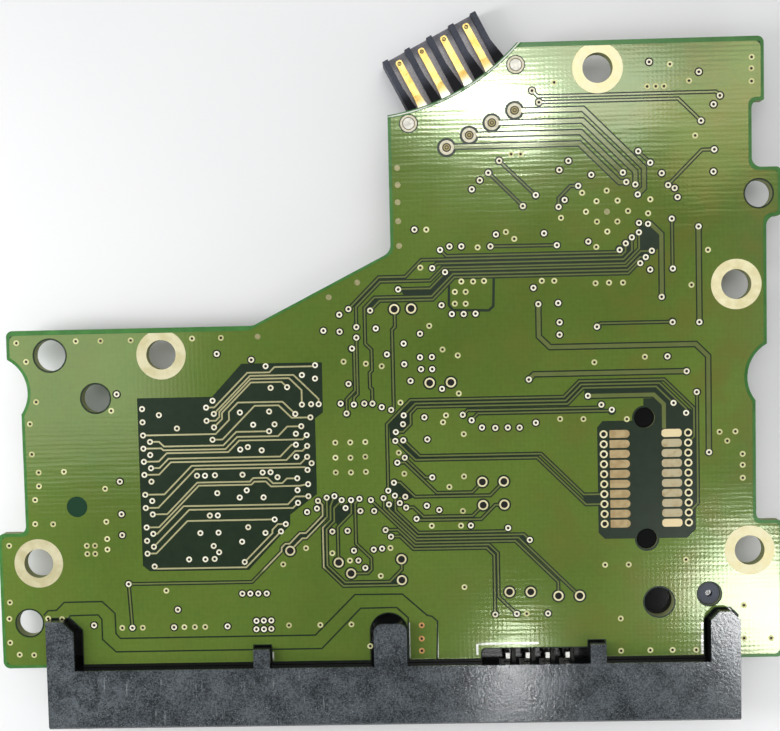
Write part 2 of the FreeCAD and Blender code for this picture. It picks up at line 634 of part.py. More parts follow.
for u in motor_us:
    profile = [Vector(0, spring_tip, 2.3), Vector(0, 28.5, 2.6), Vector(0, 26.4, 2.85),
               Vector(0, 20.1, 2.85), Vector(0, 20.1, 3.05), Vector(0, 26.4, 3.05), Vector(0, 28.5, 2.8),
               Vector(0, spring_tip, 2.5)]
    side = Part.Face(Part.makePolygon(profile + profile[:1]))
    side.translate(Vector(u - 0.6, 0, 0))
    leaf = side.extrude(Vector(1.2, 0, 0))
    plan = prism([(u - 0.6, 20.1), (u + 0.6, 20.1), (u + 0.6, 26.6), (u + 0.45, 28.6),
                  (u + 0.43, spring_tip - 0.2), (u + 0.24, spring_tip), (u - 0.24, spring_tip),
                  (u - 0.43, spring_tip - 0.2), (u - 0.45, 28.6), (u - 0.6, 26.6)], 1, 4)
    leaf = leaf.common(plan)
    post = rod(u, motor_pin_v, motor_pin_r, 2.95, face + 0.18)
    springs.append(leaf.fuse(post).removeSplitter())
channels = [box(u - 0.65, u + 0.65, 19.8, inner_v, 2.85, stand) for u in motor_us]
body = base.multiFuse([nose] + ribs).removeSplitter().cut(channels)
locks = [rod(motor_mid + s * motor_peg_u, motor_peg_v, motor_lock_r, 2.4, face + 0.1) for s in (-1, 1)]
body = body.cut(locks)
save("motor_housing", to_motor(body))
save("motor_contacts", to_motor(group(springs)))
save("motor_pegs", to_motor(group(locks)))
joints = [ringlet(x, y, motor_pin_r, motor_land, face, fillet_high) for x, y in motor_pins]
joints += [ringlet(x, y, motor_lock_r, motor_lock_land, face, fillet_high) for x, y in motor_locks]
save("motor_solder", group(joints))

# head connector
head_body = box(28.2, 37.6, -24.3, -5.0, 0, stand)
for x, y in head_pegs:
    head_body = head_body.fuse(rod(x, y, head_peg_r, stand, face - 0.2))
head_springs = []
slots = []
for i in range(head_rows):
    y = head_row_top - i * pin_pitch
    for s in (-1, 1):
        side_x = head_x + s * 4.7
        inner_x = head_x + s * 1.2
        slots.append(box(min(side_x, inner_x), max(side_x, inner_x), y - 0.32, y + 0.32, 0, 1.4))
        tip_x = inner_x + s * 0.3
        tip = box(min(side_x, tip_x), max(side_x, tip_x), y - 0.22, y + 0.22, 0.35, 0.55)
        out = side_x + s * 0.2
        leg = box(min(side_x, out), max(side_x, out), y - 0.22, y + 0.22, 0.35, stand)
        toe = side_x + s * 1.1
        foot = box(min(side_x, toe), max(side_x, toe), y - 0.22, y + 0.22, stand - 0.15, stand)
        head_springs.append(tip.multiFuse([leg, foot]).removeSplitter())
head_body = head_body.removeSplitter().cut(slots)
save("head_housing", head_body)
save("head_contacts", group(head_springs))


# underside components, each hanging from the board's lower face
def place(shape, x, y, turn):
    shape.rotate(Vector(0, 0, 0), Vector(0, 0, 1), turn)
    shape.translate(Vector(x, y, stand))
    return shape


def lead(width, reach, drop):
    # gull-wing lead that leaves a body at x = 0 and lands on the board
    points = [Vector(0, 0, -drop), Vector(0, 0, -drop + 0.13), Vector(reach * 0.42, 0, -drop + 0.13),
              Vector(reach * 0.5, 0, 0), Vector(reach, 0, 0), Vector(reach, 0, -0.13),
              Vector(reach * 0.62, 0, -0.13), Vector(reach * 0.54, 0, -drop)]
    shape = Part.Face(Part.makePolygon(points + points[:1])).extrude(Vector(0, width, 0))
    shape.translate(Vector(0, -width / 2, 0))
    return shape


def chip(length, width, high, sides, per_side, pitch, lead_w, reach):
    body = box(-length / 2, length / 2, -width / 2, width / 2, -high - 0.1, -0.1)
    rim = [e for e in body.Edges if abs(e.BoundBox.ZMax + 0.1 + high) < 1e-3 and e.BoundBox.ZLength < 1e-3]
    body = body.makeChamfer(0.15, rim)
    body = body.cut(rod(-length / 2 + 1.4, width / 2 - 1.4, 0.5, -high - 0.2, -high))
    leads = []
    for k in sides:
        half = length / 2 if k % 2 == 0 else width / 2
        for i in range(per_side):
            piece = lead(lead_w, reach, high / 2 + 0.1)
            piece.translate(Vector(half, (i - (per_side - 1) / 2) * pitch, 0))
            piece.rotate(Vector(0, 0, 0), Vector(0, 0, 1), 90 * k)
            leads.append(piece)
    return body, group(leads)


def fitted(name, x, y, turn, *form):
    body, leads = chip(*form)
    save(name + "_body", place(body, x, y, turn))
    save(name + "_leads", place(leads, x, y, turn))


fitted("controller", -4.46, -11.23, 0, 14.0, 14.0, 1.4, (0, 1, 2, 3), 25, 0.5, 0.22, 1.0)
fitted("memory", -26.26, -13.78, 0, 10.16, 22.22, 1.0, (0, 2), 27, 0.8, 0.35, 0.8)
fitted("driver", 28.38, 19.06, 45, 10.0, 10.0, 1.4, (0, 1, 2, 3), 16, 0.5, 0.22, 1.0)
fitted("flash", 13.0, -12.0, 90, 3.9, 4.9, 1.4, (0, 2), 4, 1.27, 0.42, 1.05)


def two_ended(length, width, high, cap):
    core = box(-length / 2 + cap, length / 2 - cap, -width / 2, width / 2, -high, 0)
    ends = [box(-length / 2, -length / 2 + cap, -width / 2, width / 2, -high, 0),
            box(length / 2 - cap, length / 2, -width / 2, width / 2, -high, 0)]
    return core, ends


def scatter(bodies_name, ends_name, spots, form):
    cores = []
    caps = []
    for x, y, turn in spots:
        core, ends = two_ended(*form)
        cores.append(place(core, x, y, turn))
        caps += [place(end, x, y, turn) for end in ends]
    save(bodies_name, group(cores))
    save(ends_name, group(caps))


ceramic_spots = [(-15.5, -6.0, 90), (-15.5, -9.5, 90), (-15.5, -13.0, 90), (-15.5, -16.5, 90),
                 (-9.0, -1.2, 0),
                 (-5.5, -1.2, 0), (-2.0, -1.2, 0), (1.5, -1.2, 0), (6.5, -6.0, 90), (6.5, -9.5, 90),
                 (-10.5, -22.0, 0), (-7.5, -22.0, 0), (1.5, -22.0, 0), (-34.5, -6.0, 90), (-34.5, -12.0, 90),
                 (-34.5, -18.0, 90), (18.5, 12.0, 45), (38.5, 12.5, 45), (38.5, 25.5, 135), (20.0, 27.0, 135),
                 (24.0, -6.5, 90), (24.0, -12.0, 90), (24.0, -18.0, 90), (41.0, -17.0, 90)]
scatter("ceramic_bodies", "ceramic_ends", ceramic_spots, (1.6, 0.8, 0.8, 0.3))
resistor_spots = [(-19.0, -4.0, 90), (-19.0, -8.0, 90), (-19.0, -12.0, 90), (-19.0, -16.0, 90),
                  (-19.0, -20.0, 90),
                  (8.5, -17.5, 0), (11.5, -17.5, 0), (14.5, -17.5, 0), (17.5, -17.5, 0), (8.5, -25.0, 0),
                  (12.0, -25.0, 0), (15.5, -25.0, 0), (19.0, -25.0, 0), (6.5, 1.0, 90), (20.0, 3.0, 90),
                  (24.0, 3.0, 90), (28.0, 3.0, 90), (32.0, 3.0, 90), (-12.0, -29.0, 0), (-8.5, -29.0, 0),
                  (7.0, -30.5, 0), (10.5, -30.5, 0), (14.0, -30.5, 0), (17.5, -30.5, 0)]
scatter("resistor_bodies", "resistor_ends", resistor_spots, (1.0, 0.5, 0.4, 0.2))
tantalum_spots = [(38.5, 34.5, 0), (38.5, 29.5, 0), (8.0, 17.5, 90)]
scatter("tantalum_bodies", "tantalum_ends", tantalum_spots, (7.3, 4.3, 2.6, 0.8))
diode_spots = [(-36.5, -27.5, 0), (-29.0, -29.0, 0)]
scatter("diode_bodies", "diode_ends", diode_spots, (5.2, 3.6, 2.2, 0.7))
inductor_spots = [(41.0, 3.0, 90), (14.5, 16.5, 90)]
scatter("inductor_bodies", "inductor_ends", inductor_spots, (5.0, 4.5, 2.6, 0.9))
shock_spots = [(-20.5, -29.5, 45), (42.2, -12.0, 45)]
scatter("shock_sensors", "shock_ends", shock_spots, (3.2, 1.7, 1.2, 0.4))
fitted("regulator", 13.5, 7.5, 0, 6.5, 3.5, 1.6, (1, 3), 3, 2.3, 0.7, 1.6)

transistor_spots = [(25.0, 29.5, 0), (33.0, 35.5, 0), (22.5, 8.0, 0), (33.5, 8.0, 0)]
bodies = []
legs = []
for x, y, turn in transistor_spots:
    bodies.append(place(box(-1.45, 1.45, -0.65, 0.65, -1.05, -0.1), x, y, turn))
    for dx, s in ((-0.95, -1), (0.95, -1), (0.0, 1)):
        leg = lead(0.4, 0.6, 0.5)
        leg.rotate(Vector(0, 0, 0), Vector(0, 0, 1), 90 * s)
        leg.translate(Vector(dx, 0.65 * s, 0))
        legs.append(place(leg, x, y, turn))
save("transistor_bodies", group(bodies))
save("transistor_leads", group(legs))

save("crystal_base", place(box(-2.5, 2.5, -1.6, 1.6, -0.5, 0), -4.2, -25.5, 0))
lid = box(-2.2, 2.2, -1.3, 1.3, -1.1, -0.5)
lid = lid.makeFillet(0.4, [e for e in lid.Edges if e.BoundBox.ZLength > 0.5])
save("crystal_lid", place(lid, -4.2, -25.5, 0))
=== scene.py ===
import bpy
import json
import math
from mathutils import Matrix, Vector, kdtree


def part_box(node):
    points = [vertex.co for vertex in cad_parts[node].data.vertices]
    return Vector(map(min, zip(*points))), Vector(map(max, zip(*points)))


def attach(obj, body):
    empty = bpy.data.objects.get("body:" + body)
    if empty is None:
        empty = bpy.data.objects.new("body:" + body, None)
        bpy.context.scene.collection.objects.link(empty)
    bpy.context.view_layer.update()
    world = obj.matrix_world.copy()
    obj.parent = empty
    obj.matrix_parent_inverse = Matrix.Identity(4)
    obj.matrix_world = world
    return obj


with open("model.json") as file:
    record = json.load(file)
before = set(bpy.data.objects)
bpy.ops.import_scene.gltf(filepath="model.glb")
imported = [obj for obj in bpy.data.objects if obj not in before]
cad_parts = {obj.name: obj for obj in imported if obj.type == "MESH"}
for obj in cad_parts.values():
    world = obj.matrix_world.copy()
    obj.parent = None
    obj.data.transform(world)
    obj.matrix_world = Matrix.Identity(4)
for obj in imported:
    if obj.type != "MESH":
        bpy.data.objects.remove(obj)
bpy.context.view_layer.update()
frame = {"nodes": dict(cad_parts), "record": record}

nodes = frame["nodes"]
print("frame loaded:", len(nodes), "nodes")
mm = 0.001
softEdge = 0.05 * mm  # half the blur of a painted edge
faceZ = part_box("board")[1][2]  # outer face of the board
drawingY = 0.2561  # mm from the part's middle up to the zero of the board's drawing
motorTurn = math.radians(27.1)  # lean of the motor connector


# Shader wiring

class Wire:  # one output socket, so that shader maths reads as an expression
    def __init__(self, paint, socket):
        self.paint = paint
        self.socket = socket

    def calc(self, operation, *values):
        slots = dict(enumerate(values))
        return self.paint.node("Math", {"operation": operation}, slots)

    def __add__(self, other):
        return self.calc("ADD", self, other)

    def __radd__(self, other):
        return self.calc("ADD", other, self)

    def __sub__(self, other):
        return self.calc("SUBTRACT", self, other)

    def __rsub__(self, other):
        return self.calc("SUBTRACT", other, self)

    def __mul__(self, other):
        return self.calc("MULTIPLY", self, other)

    def __rmul__(self, other):
        return self.calc("MULTIPLY", other, self)

    def __gt__(self, other):
        return self.calc("GREATER_THAN", self, other)

    def __lt__(self, other):
        return self.calc("LESS_THAN", self, other)

    def __abs__(self):
        return self.calc("ABSOLUTE", self)

    def sine(self):
        return self.calc("SINE", self)

    def root(self):
        return self.calc("SQRT", self)

    def larger(self, other):
        return self.calc("MAXIMUM", self, other)

    def ramp(self, low, high):  # 0 below low, 1 above high, smooth between
        steps = {"interpolation_type": "SMOOTHSTEP"}
        return self.paint.node("MapRange", steps, {"Value": self, "From Min": low, "From Max": high})

    def between(self, low, high, soft):  # 1 from low to high, 0 outside
        return self.ramp(low - soft, low + soft) * (1 - self.ramp(high - soft, high + soft))


class Paint:  # one material, or the sky, and the nodes drawn into it
    def __init__(self, name, sky=False):
        self.material = (bpy.data.worlds if sky else bpy.data.materials).new(name)
        self.material.use_nodes = True
        self.tree = self.material.node_tree
        self.shader = self.tree.nodes["Background" if sky else "Principled BSDF"]
        self.coords = self.node("TexCoord", output="Generated" if sky else "Object")
        split = self.tree.nodes.new("ShaderNodeSeparateXYZ")
        self.tree.links.new(self.coords.socket, split.inputs[0])
        self.x, self.y, self.z = (Wire(self, split.outputs[i]) for i in range(3))

    def node(self, kind, settings=None, inputs=None, output=0):
        made = self.tree.nodes.new("ShaderNode" + kind)
        for key, value in (settings or {}).items():
            if key == "stops":
                self.setStops(made.color_ramp, value)
            else:
                setattr(made, key, value)
        for key, value in (inputs or {}).items():
            self.feed(made.inputs[key], value)
        return Wire(self, made.outputs[output])

    def setStops(self, ramp, stops):
        while len(ramp.elements) < len(stops):
            ramp.elements.new(0.5)
        for element, (place, colour) in zip(ramp.elements, stops):
            element.position = place
            element.color = colour

    def feed(self, socket, value):
        if isinstance(value, Wire):
            self.tree.links.new(value.socket, socket)
        else:
            socket.default_value = value

    def set(self, **inputs):  # sockets of the main shader, their spaces left out
        for key, value in inputs.items():
            words = "".join(" " + c if c.isupper() and i else c for i, c in enumerate(key))
            self.feed(self.shader.inputs[words], value)

    def refract(self, ior):
        self.shader.inputs["IOR"].default_value = ior

    def noise(self, size, detail=2.0, stretch=(1, 1, 1), roughness=0.5):
        place = self.node("Mapping", {}, {"Vector": self.coords, "Scale": stretch})
        return self.node("TexNoise", {}, {"Vector": place, "Scale": 1 / size, "Detail": detail,
                                          "Roughness": roughness})

    def mix(self, factor, first, second):
        return self.node("Mix", {"data_type": "RGBA"}, {0: factor, 6: first, 7: second}, output=2)

    def shades(self, factor, *stops):
        return self.node("ValToRGB", {"stops": stops}, {"Fac": factor})

    def bump(self, height, distance, strength=1.0):
        normal = self.node("Bump", {}, {"Height": height, "Distance": distance, "Strength": strength})
        self.set(Normal=normal)

    def boxAt(self, x0, x1, y0, y1, soft=softEdge):  # 1 inside an upright box of the plan
        return self.x.between(x0, x1, soft) * self.y.between(y0, y1, soft)

    def anyBox(self, boxes):  # 1 inside at least one of them
        inside = self.boxAt(*boxes[0])
        for box in boxes[1:]:
            inside = inside.larger(self.boxAt(*box))
        return inside

    def facing(self):  # 1 where a surface looks straight up
        normal = self.node("NewGeometry", output="Normal")
        return self.node("SeparateXYZ", {}, {0: normal}, output=2)

    def distanceTo(self, x, y):
        dx = self.x - x
        dy = self.y - y
        return (dx * dx + dy * dy).root()


def linear(level):  # a screen level from 0 to 255 as linear light
    share = level / 255
    return ((share + 0.055) / 1.055) ** 2.4 if share > 0.04 else share / 12.92


def rgb(red, green, blue):  # a screen colour for a shader's socket
    return (linear(red), linear(green), linear(blue), 1)


# Places on the board's drawing, in mm, brought into the part's frame

def plan(x0, x1, y0, y1):  # an upright box
    return x0 * mm, x1 * mm, (y0 + drawingY) * mm, (y1 + drawingY) * mm


def disc(x, y, r):
    return x * mm, (y + drawingY) * mm, r * mm


lacquerBoxes = [plan(1.75, 47.5, 32.9, 39.6), plan(1.75, 45.95, -37.2, 39.6), plan(1.75, 49.5, 18.55, 23.65),
                plan(-47.5, 47.7, -1.9, 5.1), plan(1.75, 47.7, 0, 17.6), plan(-45.95, 46.25, -37.2, 0),
                plan(-49.5, 49.5, -37.2, -20.7)]  # all that lies inside the green rim
slant = {"foot": (-16.45, 5.8), "top": (1.2, 14.67), "margin": 0.36, "within": plan(-17.5, 2.2, 0, 15)}
slopeRise = (slant["top"][1] - slant["foot"][1]) / (slant["top"][0] - slant["foot"][0])
slopeFoot = (slant["foot"][1] - slant["margin"] - slant["foot"][0] * slopeRise + drawingY) * mm
# painted shade on the board's rim beside the plug
plugShadeBand = plan(-43, 42.6, -38.5, -37.12)
edgeHighlights = [plan(2.4, 2.62, -37.2, -32.6), plan(6.04, 6.22, -37.2, -32.9), plan(11.02, 11.3, -36.9, -35.5),
             plan(11.3, 19, -35.62, -35.36), plan(39.64, 39.94, -37.2, -33.2),
             plan(-15.1, -14.92, -37.2, -36.1)]  # painted highlights on the lacquer along the plug's openings
motorCurve = disc(-2.41, 58.36, 27.35)
edgeCurves = [motorCurve, disc(50.5, -2.05, 5.25), disc(-50.3, -2.05, 5.25)]
tintedDisc = disc(-39.68, -16.87, 1.34)
memoryWindow = plan(-31.5, -8, -25.5, 2.0)


# Board lacquer: copper-backed green, bare dark windows, bright rim, and painted highlights and shade along
# some edges

cloth = {
    "pitch": 0.56 * mm, "height": 0.0013 * mm, "wander": 3 * mm, "sway": 4.0, "across": 0.35, "along": 0.55,
    "crossing": 0.25, "yarn": 1.0 * mm, "yarnStretch": (0.12, 1, 1), "yarnLift": 9.0, "fine": 0.16 * mm,
    "fineLift": 0.7,
}
lacquer = {
    "copper": [(0.3, rgb(89, 114, 45)), (0.5, rgb(99, 125, 51)), (0.72, rgb(112, 139, 59))],
    "cloud": 26 * mm, "cloudShare": 0.8, "grain": 0.5 * mm, "grainShare": 0.2, "rippleShare": 0.012,
    "warm": rgb(118, 118, 52), "warmPatch": 5 * mm, "warmTones": (0.35, 0.75), "warmLeft": 0.2,
    "warmGain": 0.5, "warmTo": 45 * mm,
    "window": rgb(26, 41, 27), "windowPale": rgb(38, 54, 36), "bareWeave": 0.6, "mottle": 1.1 * mm,
    "rim": rgb(48, 100, 44), "rimPale": rgb(78, 138, 68), "disc": rgb(22, 58, 38), "discMargin": 0.1 * mm,
    "shade": rgb(12, 17, 10), "under": rgb(70, 104, 52), "underZ": faceZ - 0.9 * mm,
    "sideFacing": (0.3, 0.6), "edge": rgb(150, 154, 112), "edgeDark": rgb(120, 128, 84),
    "fibre": 0.3 * mm, "fibreStretch": (1, 1, 5),
    "bead": rgb(236, 238, 230), "highlightPatch": 1.2 * mm, "highlightBreaks": (0.3, 0.5), "curveBreaks": (0.25, 0.5),
    "highlightInset": 0.25 * mm, "highlightWide": 0.16 * mm, "highlightSoft": 0.03 * mm,
    "trace": rgb(112, 124, 70), "tan": rgb(186, 182, 138), "tracePatch": 1.5 * mm, "traceWeave": 0.4,
    "tanSoft": 0.5 * mm, "tanGrain": 0.35, "tanTones": (0.1, 1.1),
    "gloss": 0.115, "glossSpread": 0.06, "glossPatch": 7 * mm, "bareGloss": 0.3, "edgeDull": 0.3,
    "droop": 90, "droopFrom": 0.55 * mm, "droopTo": 0.15 * mm, "ior": 1.55, "bareIor": 1.3, "metallic": 0.1,
}


def weave(paint, share=1.0, fall=0):  # glass cloth telegraphing through the lacquer
    turn = 2 * math.pi / cloth["pitch"]
    sway = paint.noise(cloth["wander"], 2) * cloth["sway"]
    across = (paint.x * turn + sway).sine()
    along = (paint.y * turn + sway).sine()
    yarn = paint.noise(cloth["yarn"], 3, cloth["yarnStretch"])
    fine = paint.noise(cloth["fine"], 2)
    height = across * cloth["across"] + along * cloth["along"] + across * along * cloth["crossing"]
    height = (height + yarn * cloth["yarnLift"]) * share + fine * cloth["fineLift"]
    paint.bump(height + fall, cloth["height"])
    return across + along


def copperLacquer():
    paint = Paint("lacquerOverCopper")
    ripple = weave(paint)
    cloud = paint.noise(lacquer["cloud"], 3)
    grain = paint.noise(lacquer["grain"], 2)
    tone = cloud * lacquer["cloudShare"] + grain * lacquer["grainShare"] + ripple * lacquer["rippleShare"]
    drift = paint.x.ramp(0, lacquer["warmTo"])  # the lacquer yellows to the right
    drift = lacquer["warmLeft"] + drift * lacquer["warmGain"]
    warm = paint.noise(lacquer["warmPatch"], 4).ramp(*lacquer["warmTones"]) * drift
    colour = paint.mix(warm, paint.shades(tone, *lacquer["copper"]), lacquer["warm"])
    # painted highlight along the plug's openings, in broken patches
    bead = paint.anyBox(edgeHighlights) * paint.noise(lacquer["highlightPatch"], 2).ramp(*lacquer["highlightBreaks"])
    gloss = (paint.noise(lacquer["glossPatch"], 3) - 0.5) * lacquer["glossSpread"] + lacquer["gloss"]
    colour = paint.mix(bead, colour, lacquer["bead"])
    paint.set(BaseColor=colour, Roughness=gloss, Metallic=lacquer["metallic"])
    paint.refract(lacquer["ior"])
    return paint.material


def boardLacquer():
    paint = Paint("lacquerOverLaminate")
    slope = paint.y - paint.x * slopeRise - slopeFoot  # the slanted edge between wing and block
    wedge = (1 - slope.ramp(-softEdge, softEdge)) * paint.boxAt(*slant["within"])
    inside = paint.anyBox(lacquerBoxes).larger(wedge)
    fall = 0
    for x, y, r in edgeCurves:  # the lacquer rounds off at the curved edges
        away = paint.distanceTo(x, y)
        inside = inside * away.ramp(r - softEdge, r + softEdge)
        fall = fall + away.ramp(r - lacquer["droopFrom"], r + lacquer["droopTo"])
    weave(paint, lacquer["bareWeave"], fall * lacquer["droop"])
    mottle = paint.noise(lacquer["mottle"], 3)
    dark = paint.mix(mottle, lacquer["window"], lacquer["windowPale"])
    green = paint.mix(mottle, lacquer["rim"], lacquer["rimPale"])
    x, y, r = tintedDisc
    away = paint.distanceTo(x, y)
    inside = inside * away.ramp(r - softEdge, r + softEdge)
    green = paint.mix(away < r + lacquer["discMargin"], green, lacquer["disc"])
    # painted shade on the rim next to the plug
    green = paint.mix(paint.boxAt(*plugShadeBand), green, lacquer["shade"])
    # painted highlight along the curved edge by the motor connector
    x, y, r = motorCurve
    highlightMid = r - lacquer["highlightInset"]
    halfHighlight = lacquer["highlightWide"] / 2
    bead = paint.distanceTo(x, y).between(highlightMid - halfHighlight, highlightMid + halfHighlight, lacquer["highlightSoft"])
    green = paint.mix(bead * mottle.ramp(*lacquer["curveBreaks"]), green, lacquer["bead"])
    face = paint.mix(inside, green, dark)
    face = paint.mix(paint.z < lacquer["underZ"], face, lacquer["under"])
    side = 1 - abs(paint.facing()).ramp(*lacquer["sideFacing"])
    fibre = paint.noise(lacquer["fibre"], 3, lacquer["fibreStretch"])
    cut = paint.mix(fibre, lacquer["edge"], lacquer["edgeDark"])
    gloss = lacquer["bareGloss"] + side * lacquer["edgeDull"]
    paint.set(BaseColor=paint.mix(side, face, cut), Roughness=gloss)
    paint.refract(lacquer["bareIor"])
    return paint.material


def traceLacquer():
    paint = Paint("lacquerOverTraces")
    weave(paint, lacquer["traceWeave"])
    tone = paint.noise(lacquer["tracePatch"], 3)
    bare = paint.boxAt(*memoryWindow, lacquer["tanSoft"])  # no copper around the memory's conductors
    bare = (bare + tone * lacquer["tanGrain"]).ramp(*lacquer["tanTones"])
    colour = paint.mix(bare, lacquer["trace"], lacquer["tan"])
    gloss = (tone - 0.5) * lacquer["glossSpread"] + lacquer["gloss"]
    paint.set(BaseColor=colour, Roughness=gloss, Metallic=lacquer["metallic"])
    paint.refract(lacquer["ior"])
    return paint.material


# Metals

metals = {  # two tones, roughness, size of the blotches, and how metallic where that isn't the usual
    "plating": {"low": rgb(212, 203, 158), "high": rgb(230, 224, 188), "rough": 0.5, "blotch": 1.3 * mm},
    "via": {"low": rgb(226, 220, 188), "high": rgb(250, 247, 228), "rough": 0.5, "blotch": 1.3 * mm,
            "shine": 0.2},
    "tented": {"low": rgb(190, 188, 128), "high": rgb(226, 224, 170), "rough": 0.45, "blotch": 2 * mm,
               "shine": 0.2},
    "filled": {"low": rgb(132, 132, 86), "high": rgb(160, 154, 108), "rough": 0.4, "blotch": 0.6 * mm,
               "shine": 0.2},
    "amber": {"low": rgb(186, 126, 66), "high": rgb(216, 166, 104), "rough": 0.4, "blotch": 0.6 * mm,
              "shine": 0.2},
    "pads": {"low": rgb(158, 137, 97), "high": rgb(186, 166, 124), "rough": 0.55, "blotch": 1.0 * mm},
    "solder": {"low": rgb(204, 198, 168), "high": rgb(236, 231, 212), "rough": 0.6, "blotch": 0.4 * mm,
               "shine": 0.3},
    "gold": {"low": rgb(192, 156, 74), "high": rgb(230, 202, 124), "rough": 0.3, "blotch": 1.2 * mm},
    "tin": {"low": rgb(140, 138, 130), "high": rgb(196, 194, 184), "rough": 0.4, "blotch": 0.5 * mm},
    # near black: painted shade of the cut-out the leads stand in
    "jumper": {"low": rgb(26, 26, 25), "high": rgb(70, 70, 67), "rough": 0.3, "blotch": 0.3 * mm,
               "shine": 0.9},
    "can": {"low": rgb(176, 176, 172), "high": rgb(214, 214, 208), "rough": 0.28, "blotch": 0.8 * mm},
}
metalSkin = {"tones": (0.3, 0.7), "shine": 0.6, "roughSpread": 0.3, "grain": 0.12 * mm, "bump": 0.004 * mm}
springGilt = {
    "body": (24 * mm, 25 * mm), "tinned": (26.8 * mm, 28.6 * mm), "ragged": 0.8 * mm,
    "tin": rgb(250, 248, 240), "pinY": (20 * mm, 21 * mm), "pinOut": (22 * mm, 23 * mm),
    "pin": rgb(176, 164, 114), "pinDull": 0.5, "pinRough": 0.35,
}
padTones = {
    "right": (31.5 * mm, 34.5 * mm), "grey": rgb(186, 178, 148), "greyTones": (0.2, 0.6), "greyShare": 0.8,
    "mid": -14.34 * mm, "ends": (4.8 * mm, 5.2 * mm), "paleEnd": rgb(240, 222, 176), "paleEndShare": 0.7,
}
jumperLit = {"fromY": -37.13 * mm, "topZ": 4.75 * mm, "tint": rgb(240, 239, 232), "dull": 0.7}


def outward(paint):  # distance out along the motor connector's springs
    return paint.y * math.cos(motorTurn) - paint.x * math.sin(motorTurn)


def metal(name):
    tune = metals[name]
    paint = Paint(name + "Metal")
    blotch = paint.noise(tune["blotch"], 4)
    colour = paint.mix(blotch.ramp(*metalSkin["tones"]), tune["low"], tune["high"])
    shine = tune.get("shine", metalSkin["shine"])
    rough = tune["rough"] + (blotch - 0.5) * metalSkin["roughSpread"]
    if name == "gold":  # tinned where the motor's springs leave their body, dull at the soldered pins
        out = outward(paint)
        gilt = (out + blotch * springGilt["ragged"]).ramp(*springGilt["tinned"])
        colour = paint.mix((1 - gilt) * out.ramp(*springGilt["body"]), colour, springGilt["tin"])
        pin = paint.y.ramp(*springGilt["pinY"]) * (1 - out.ramp(*springGilt["pinOut"]))
        colour = paint.mix(pin, colour, springGilt["pin"])
        shine = shine - pin * springGilt["pinDull"]
        rough = rough + pin * springGilt["pinRough"]
    if name == "pads":  # the right-hand row greyer, its end pads paler
        right = paint.x.ramp(*padTones["right"])
        grey = right * blotch.ramp(*padTones["greyTones"]) * padTones["greyShare"]
        colour = paint.mix(grey, colour, padTones["grey"])
        last = abs(paint.y - padTones["mid"]).ramp(*padTones["ends"]) * right
        colour = paint.mix(last * padTones["paleEndShare"], colour, padTones["paleEnd"])
    if name == "jumper":  # painted highlight on the bend of each upper lead
        lit = (paint.y > jumperLit["fromY"]) * (paint.z > jumperLit["topZ"])
        colour = paint.mix(lit, colour, jumperLit["tint"])
        shine = shine - lit * jumperLit["dull"]
    paint.set(BaseColor=colour, Metallic=shine, Roughness=rough)
    paint.bump(paint.noise(metalSkin["grain"], 3), metalSkin["bump"])
    return paint.material


# Moulded plastics and fired bodies

mouldings = {
    "springBlock": {"low": rgb(46, 48, 56), "high": rgb(90, 94, 106), "grain": 0.16 * mm, "rough": 0.5,
                    "ior": 1.2},
    # near black: black plastic with painted shade of the recessed pegs; the whole head connector housing
    # takes it
    "peg": {"low": rgb(8, 9, 9), "high": rgb(22, 23, 23), "grain": 0.2 * mm, "rough": 0.5, "ior": 1.12},
    "epoxy": {"low": rgb(38, 38, 39), "high": rgb(58, 58, 58), "grain": 0.09 * mm, "rough": 0.55},
    "tantalum": {"low": rgb(196, 148, 52), "high": rgb(224, 178, 82), "grain": 0.1 * mm, "rough": 0.5},
    "ferrite": {"low": rgb(70, 70, 72), "high": rgb(104, 104, 106), "grain": 0.14 * mm, "rough": 0.6},
    "ceramic": {"low": rgb(150, 122, 90), "high": rgb(190, 164, 128), "grain": 0.1 * mm, "rough": 0.45},
    "film": {"low": rgb(30, 30, 34), "high": rgb(58, 58, 64), "grain": 0.1 * mm, "rough": 0.3},
    "white_ceramic": {"low": rgb(206, 202, 190), "high": rgb(232, 230, 222), "grain": 0.1 * mm, "rough": 0.4},
}
mouldSkin = {
    "roughness": 0.7, "cloud": 6 * mm, "grainShare": 0.65, "cloudShare": 0.35, "tones": (0.3, 0.72),
    "roughSpread": 0.2, "bump": 0.02 * mm, "bumpStrength": 0.6, "ior": 1.5,
}
# painted sheen on the slot floors, and the block darker near the board
slotFloor = {
    "z": 2.05 * mm, "level": (0.06 * mm, 0.16 * mm), "facing": 0.7, "tint": rgb(232, 229, 233),
    "speckle": (0.1, 1.5),
    "foot": rgb(14, 14, 19), "footOut": (28.4 * mm, 30.6 * mm), "endOut": (32.2 * mm, 34.0 * mm),
    "endDim": 0.8,
}


